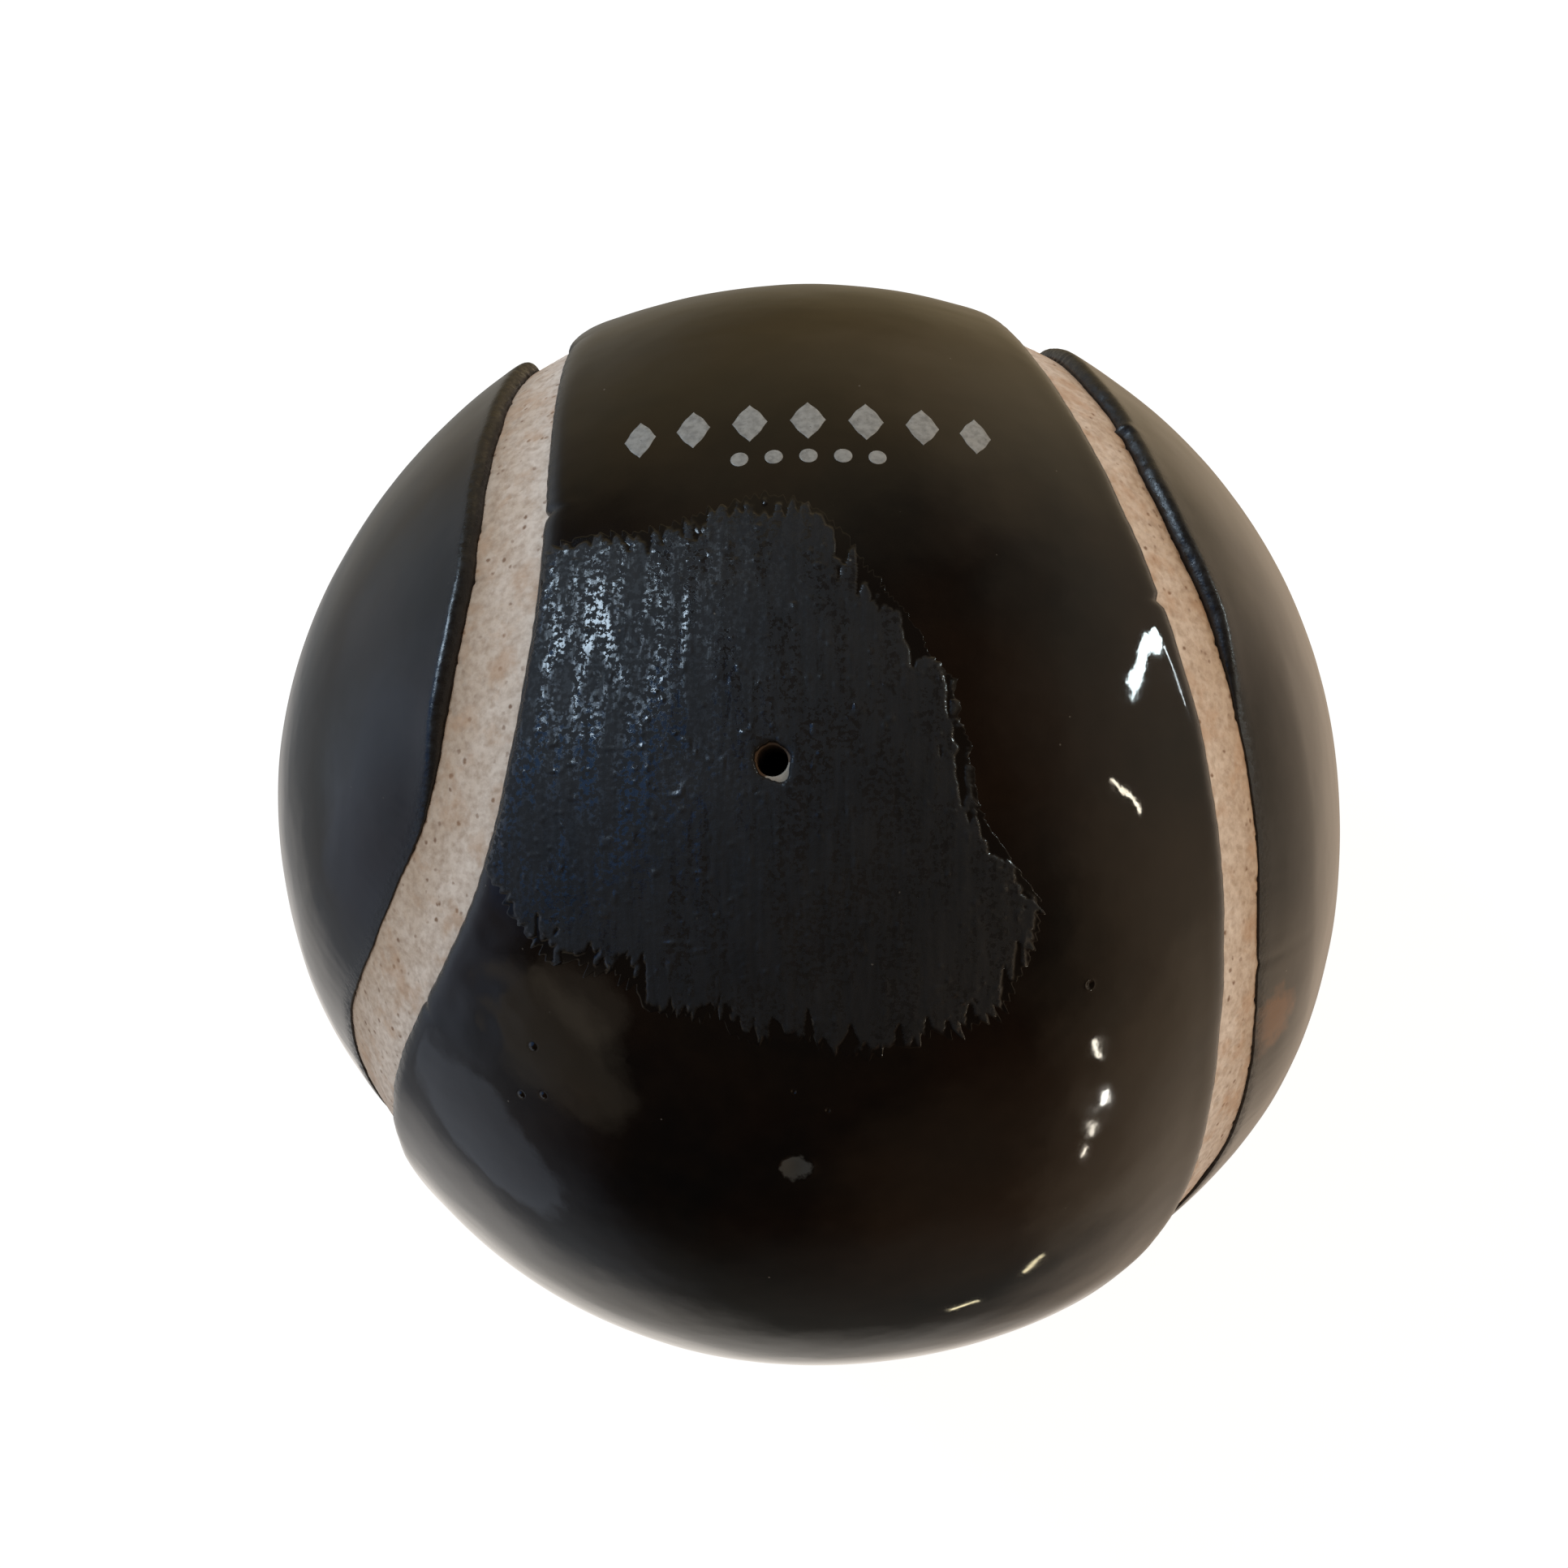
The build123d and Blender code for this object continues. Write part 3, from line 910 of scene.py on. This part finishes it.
def coat_material():
    """Second coat, brushed on thin: dull and streaked along +Y, with glassy grains and a few specks."""
    n = Nodes("rough_coat")
    streaks = n.noise(0.5, 4, 0.6, (1, 0.09, 0.4))
    broad = n.noise(6, 3)
    colour = n.ramp(streaks, (0.3, (0.0074, 0.0074, 0.008)), (0.7, (0.0134, 0.013, 0.014)))
    tint = n.ramp(broad, (0.35, (0.0065, 0.007, 0.0086)), (0.7, (0.0155, 0.0142, 0.0136)))
    colour = n.mix(0.35, colour, tint)
    speck = n.ramp(n.spots(1.5), (0.04, 1.0), (0.08, 0.0))
    some = n.ramp(n.noise(1.1, 1), (0.6, 0.0), (0.65, 0.8))
    colour = n.mix(n.math("MULTIPLY", speck, some), colour, (0.12, 0.115, 0.10))
    grains = n.ramp(n.noise(0.42, 3, 0.65), (0.49, 0.0), (0.54, 1.0))
    columns = n.ramp(n.noise(1.8, 4, 0.65, (1, 0.22, 0.5)), (0.42, 0.12), (0.56, 1.0))
    glassy = n.math("MULTIPLY", grains, columns)
    rough = n.mix(glassy, (0.66, 0.66, 0.66), (0.1, 0.1, 0.1))
    shine = n.mix(glassy, (0.26, 0.26, 0.26), (0.75, 0.75, 0.75))
    cover = n.mark("cover")
    colour = n.mix(cover, (0.0052, 0.004, 0.0035), colour)
    rough = n.mix(cover, (0.09, 0.09, 0.09), rough)
    shine = n.mix(cover, (0.5, 0.5, 0.5), shine)
    first = n.bump(n.math("MULTIPLY", streaks, cover), 0.25, 0.05)
    second = n.bump(n.math("MULTIPLY", n.noise(0.4, 3, 0.6), cover), 0.7, 0.035, first)
    return n.set(Base_Color=colour, Roughness=rough, IOR=1.5, Specular_IOR_Level=shine, Normal=second)


def clay_material():
    """Bare stoneware: pink-buff, darker towards the rear panel, with iron specks, a brown stain round the
    vent and painted shade down the vent's bore.
    """
    n = Nodes("bare_clay")
    # Darker towards the rear panel's edge of the groove and lighter towards the front panel's edge
    side = n.math("ADD", n.math("MULTIPLY", n.mark("across"), 0.5), n.noise(2.5, 3, 0.6))
    colour = n.ramp(side, (0.1, (0.44, 0.335, 0.25)), (0.85, (0.60, 0.51, 0.435)))
    fine = n.ramp(n.noise(0.7, 4, 0.6), (0.3, (0.76, 0.70, 0.66)), (0.6, (1.06, 1.05, 1.05)))
    colour = n.mix(1.0, colour, fine, "MULTIPLY")
    gap = n.math("ADD", n.spots(1.15), n.math("MULTIPLY", n.noise(0.3, 2), 0.2))
    speck = n.ramp(gap, (0.2, 1.0), (0.32, 0.0))
    some = n.ramp(n.noise(2.6, 2), (0.36, 0.0), (0.52, 0.95))
    colour = n.mix(n.math("MULTIPLY", speck, some), colour, (0.2, 0.115, 0.07))
    stain = n.ramp(n.noise(3.3, 4, 0.6), (0.5, 0.0), (0.66, 0.5))
    colour = n.mix(stain, colour, (0.42, 0.25, 0.145))
    across = n.length(n.scaled(n.position, (0.1, 0.1, 0)))
    # Brown stain round the vent. The same mask also paints the bore's wall dark all the way down, so it is a
    # real stain on the rim and painted shade in the hole
    vent_stain_and_bore_shade = n.ramp(across, (0.165, 1.0), (0.3, 0.0))
    chip = n.math("ADD", n.along(300.0), n.math("MULTIPLY", n.noise(0.4, 2), 0.5))
    # Dark brown: the rim's stain, and painted shade down the bore
    colour = n.mix(n.math("MULTIPLY", vent_stain_and_bore_shade, n.above(30.0)), colour, (0.08, 0.052, 0.034))
    chipped = n.math("MULTIPLY", n.math("GREATER_THAN", chip, 1.0), n.above(45.2))
    colour = n.mix(n.math("MULTIPLY", chipped, vent_stain_and_bore_shade), colour, (0.27, 0.245, 0.21))
    rough = n.ramp(n.noise(0.6, 3), (0.3, 0.72), (0.7, 0.92))
    grain = n.bump(n.noise(0.22, 3, 0.65), 0.5, 0.05)
    return n.set(Base_Color=colour, Roughness=rough, IOR=1.45, Normal=grain)


def print_material():
    """Pale fired print, a little worn, with the dark glaze showing through."""
    n = Nodes("pale_print")
    colour = n.ramp(n.noise(0.5, 3, 0.6), (0.3, (0.15, 0.15, 0.146)), (0.6, (0.245, 0.245, 0.237)))
    worn = n.ramp(n.noise(0.32, 3, 0.7), (0.66, 0.0), (0.72, 0.8))
    colour = n.mix(worn, colour, (0.05, 0.045, 0.04))
    rough = n.ramp(n.noise(0.7, 2), (0.3, 0.3), (0.7, 0.5))
    grain = n.bump(n.noise(0.25, 2), 0.2, 0.02)
    return n.set(Base_Color=colour, Roughness=rough, Normal=grain)


clay = clay_material()
glaze = glaze_material()
rough_coat = coat_material()
pale_print = print_material()

coat_shape = Coat()
attach(glaze_panel("front_glaze_skin", 1, coat_shape), "front_glaze_panel", glaze)
attach(glaze_panel("rear_glaze_skin", -1, coat_shape), "rear_glaze_panel", glaze)
attach(brushed_coat(coat_shape), "brushed_coat", rough_coat)
attach(clay_half("clay_front_half", True), "body_front_half", clay)
attach(clay_half("clay_rear_half", False), "body_rear_half", clay)
attach(slip_ring(), "luting_slip", clay)
attach(mark_print(), "transfer_mark", pale_print)


# Floor, light and camera


def floor():
    """Pale floor. Reflections look through it to the studio's own colours."""
    size = 3.0
    mesh = bpy.data.meshes.new("floor")
    corners = [(-size, -size), (size, -size), (size, size), (-size, size)]
    mesh.from_pydata([(x, y, -RADIUS * MM) for x, y in corners], [], [(0, 1, 2, 3)])
    obj = bpy.data.objects.new("floor", mesh)
    bpy.context.scene.collection.objects.link(obj)
    n = Nodes("floor_pale")
    path = n.tree.nodes.new("ShaderNodeLightPath")
    clear = n.tree.nodes.new("ShaderNodeBsdfTransparent")
    share = n.tree.nodes.new("ShaderNodeMixShader")
    mesh.materials.append(n.set(Base_Color=(0.25, 0.25, 0.25, 1), Roughness=0.8, Emission_Color=(1, 1, 1, 1),
                                Emission_Strength=0.9))
    n.link(path.outputs["Is Glossy Ray"], share.inputs[0])
    n.link(n.shader.outputs[0], share.inputs[1])
    n.link(clear.outputs[0], share.inputs[2])
    n.link(share.outputs[0], n.out.inputs[0])


# What the glossy glaze reflects: direction, inner and outer half angle, all in degrees, and colour
REFLECTED = [
    (15, 112, 20, 75, (0.42, 0.35, 0.26)),
    (175, 122, 20, 70, (0.25, 0.26, 0.27)),
    (160, 94, 6, 36, (0.16, 0.19, 0.23)),
    (185, 90, 8, 35, (0.12, 0.16, 0.25)),
    (92, 115, 15, 60, (0.18, 0.13, 0.05)),
    (92, 85, 10, 45, (0.18, 0.15, 0.10)),
    (60, 110, 10, 40, (0.09, 0.06, 0.03)),
    (218, 114, 12, 36, (0.05, 0.06, 0.08)),
    (220, 109, 9.5, 13, (0.19, 0.22, 0.27)),
    (222, 154, 14, 34, (0.45, 0.41, 0.37)),
    (222, 163, 4, 20, (0.36, 0.33, 0.30)),
    (222, 76, 9, 17, (0.24, 0.20, 0.15)),
    (222, 62, 5, 12, (0.20, 0.17, 0.13)),
    (325, 110, 6, 30, (0.23, 0.17, 0.11)),
    (355, 140, 10, 50, (0.40, 0.30, 0.23)),
    (270, 140, 10, 50, (0.09, 0.09, 0.08)),
    (300, 95, 8, 35, (0.14, 0.085, 0.05)),
    (340, 85, 8, 30, (0.15, 0.09, 0.045)),
    (164, 50, 10, 38, (0.10, 0.30, 0.70)),
    (0, 0, 0, 75, (0.03, 0.02, 0.01)),
]


def world():
    """White behind the ball, coloured patches in its reflections, and an even fill."""
    w = bpy.data.worlds.new("studio")
    w.use_nodes = True
    bpy.context.scene.world = w
    tree = w.node_tree
    tree.nodes.clear()

    def new(kind, inputs=(), **settings):
        """Adds a node. Each of its inputs, a (name or number, value) pair, takes a link or a plain value."""
        node = tree.nodes.new("ShaderNode" + kind)
        for name, value in settings.items():
            setattr(node, name, value)
        for name, value in inputs:
            if isinstance(value, bpy.types.NodeSocket):
                tree.links.new(value, node.inputs[name])
            else:
                node.inputs[name].default_value = value
        return node

    def vectors(operation, *values):
        """Outputs of a vector calculation with these values."""
        return new("VectorMath", enumerate(values), operation=operation).outputs

    def mixed(share, a, b):
        """Colour a where the share is 0, and colour b where it is 1."""
        return new("Mix", [("Factor", share), ("A", a), ("B", b)], data_type="RGBA").outputs["Result"]

    straight = new("TexCoord").outputs["Generated"]
    ragged = new("TexNoise", [("Vector", straight), ("Scale", 2.6), ("Detail", 6.0), ("Roughness", 0.62)])
    shift = vectors("MULTIPLY_ADD", ragged.outputs["Color"], (0.36, 0.36, 0.36), (-0.18, -0.18, -0.18))[0]
    toward = vectors("NORMALIZE", vectors("ADD", straight, shift)[0])[0]
    total = None
    for lon, pol, inner, outer, colour in REFLECTED:
        near = vectors("DOT_PRODUCT", toward, unit(lon, pol).tolist())["Value"]
        limits = [("From Min", math.cos(math.radians(outer))), ("From Max", math.cos(math.radians(inner)))]
        fade = new("MapRange", [("Value", near), *limits], interpolation_type="SMOOTHSTEP").outputs[0]
        tint = new("VectorMath", [(0, colour), ("Scale", fade)], operation="SCALE").outputs[0]
        total = tint if total is None else vectors("ADD", total, tint)[0]
    side = new("SeparateXYZ", [(0, straight)]).outputs["X"]
    across = new("MapRange", [("Value", side), ("From Min", -0.8), ("From Max", 0.8)]).outputs[0]
    fill = mixed(across, (0.38, 0.39, 0.40, 1), (0.54, 0.41, 0.28, 1))
    path = new("LightPath").outputs
    seen = mixed(path["Is Glossy Ray"], fill, total)
    behind = mixed(path["Is Camera Ray"], seen, (1, 1, 1, 1))
    back = new("Background", [(0, behind)]).outputs[0]
    new("OutputWorld", [(0, back)])


def softbox(name, longitude, from_top, distance, width, height, bright, colour, turn=0, mirrored=True):
    """Area light that faces the ball from this direction, turned by some degrees about its own axis.

    Its brightness is a radiance. The glaze mirrors it unless told not to.
    """
    data = bpy.data.lights.new(name, "AREA")
    data.shape = "RECTANGLE"
    data.size, data.size_y = width, height
    data.energy = bright * math.pi * width * height
    data.color = colour
    obj = bpy.data.objects.new(name, data)
    bpy.context.scene.collection.objects.link(obj)
    away = Vector(unit(longitude, from_top))
    obj.location = away * distance
    obj.visible_glossy = mirrored
    spin = Quaternion((0, 0, 1), math.radians(turn))
    obj.rotation_euler = (away.to_track_quat("Z", "Y") @ spin).to_euler()


LENS, SENSOR = 66.63, 36.0
CAMERA_RIGHT, CAMERA_UP = (0.998, 0.006, -0.0623), (0.0, 0.9953, 0.0969)
CAMERA_REACH = 5.5  # from the ball's centre, in ball radii
OFF_CENTRE = (0.017805, 0.024275)  # the ball's place right of and below the middle, as shares of the frame


def camera():
    """Looks down on the vent from a little in front, with the ball low and right in the frame."""
    data = bpy.data.cameras.new("camera")
    data.lens, data.sensor_width = LENS, SENSOR
    obj = bpy.data.objects.new("camera", data)
    bpy.context.scene.collection.objects.link(obj)
    away = Vector(CAMERA_SIDE).normalized()
    right = Vector(CAMERA_RIGHT).normalized()
    up = Vector(CAMERA_UP)
    right_share, low_share = (share * SENSOR / LENS for share in OFF_CENTRE)
    aim = -away - right * right_share + up * low_share
    z = -aim.normalized()
    x = up.cross(z).normalized()
    y = z.cross(x)
    turn = Matrix((x, y, z)).transposed().to_4x4()
    obj.matrix_world = Matrix.Translation(away * CAMERA_REACH * RADIUS * MM) @ turn
    data.clip_start = 0.01
    bpy.context.scene.camera = obj


floor()
world()
# Longitude and angle from the vent, distance, width, height, radiance, colour and turn
softbox("window", 141, 52, 0.9, 0.32, 0.36, 11.0, (0.68, 0.85, 1.0))
softbox("far_window", 23.5, 81, 0.9, 0.22, 0.04, 30.0, (0.82, 0.97, 1.0), -50)
softbox("far_window_pane", 21, 88, 0.9, 0.16, 0.014, 22.0, (0.85, 0.95, 1.0), 11)
softbox("lamp", 323, 82.7, 0.8, 0.055, 0.011, 28.0, (1.0, 0.93, 0.78), 57)
softbox("low_lamp", 317.6, 91.8, 0.8, 0.045, 0.018, 45.0, (1.0, 0.97, 0.88), 57)
softbox("lower_lamp", 313.8, 95.7, 0.8, 0.03, 0.009, 22.0, (1.0, 0.92, 0.78), 57)
softbox("lowest_lamp", 311, 98.6, 0.8, 0.025, 0.01, 26.0, (1.0, 0.90, 0.75), 57)
softbox("small_lamp", 3, 71.5, 0.8, 0.09, 0.008, 28.0, (1.0, 0.90, 0.72), 49)
softbox("yellow_lamp", 296, 123, 0.8, 0.06, 0.01, 9.0, (1.0, 0.87, 0.55), 35)
softbox("yellow_strip", 285, 128, 0.8, 0.045, 0.014, 9.0, (1.0, 0.87, 0.55), 10)
softbox("warm_fill", 20, 62, 1.6, 1.0, 1.0, 2.1, (1.0, 0.76, 0.50), 0, False)
camera()
bpy.context.scene.view_settings.view_transform = "Standard"
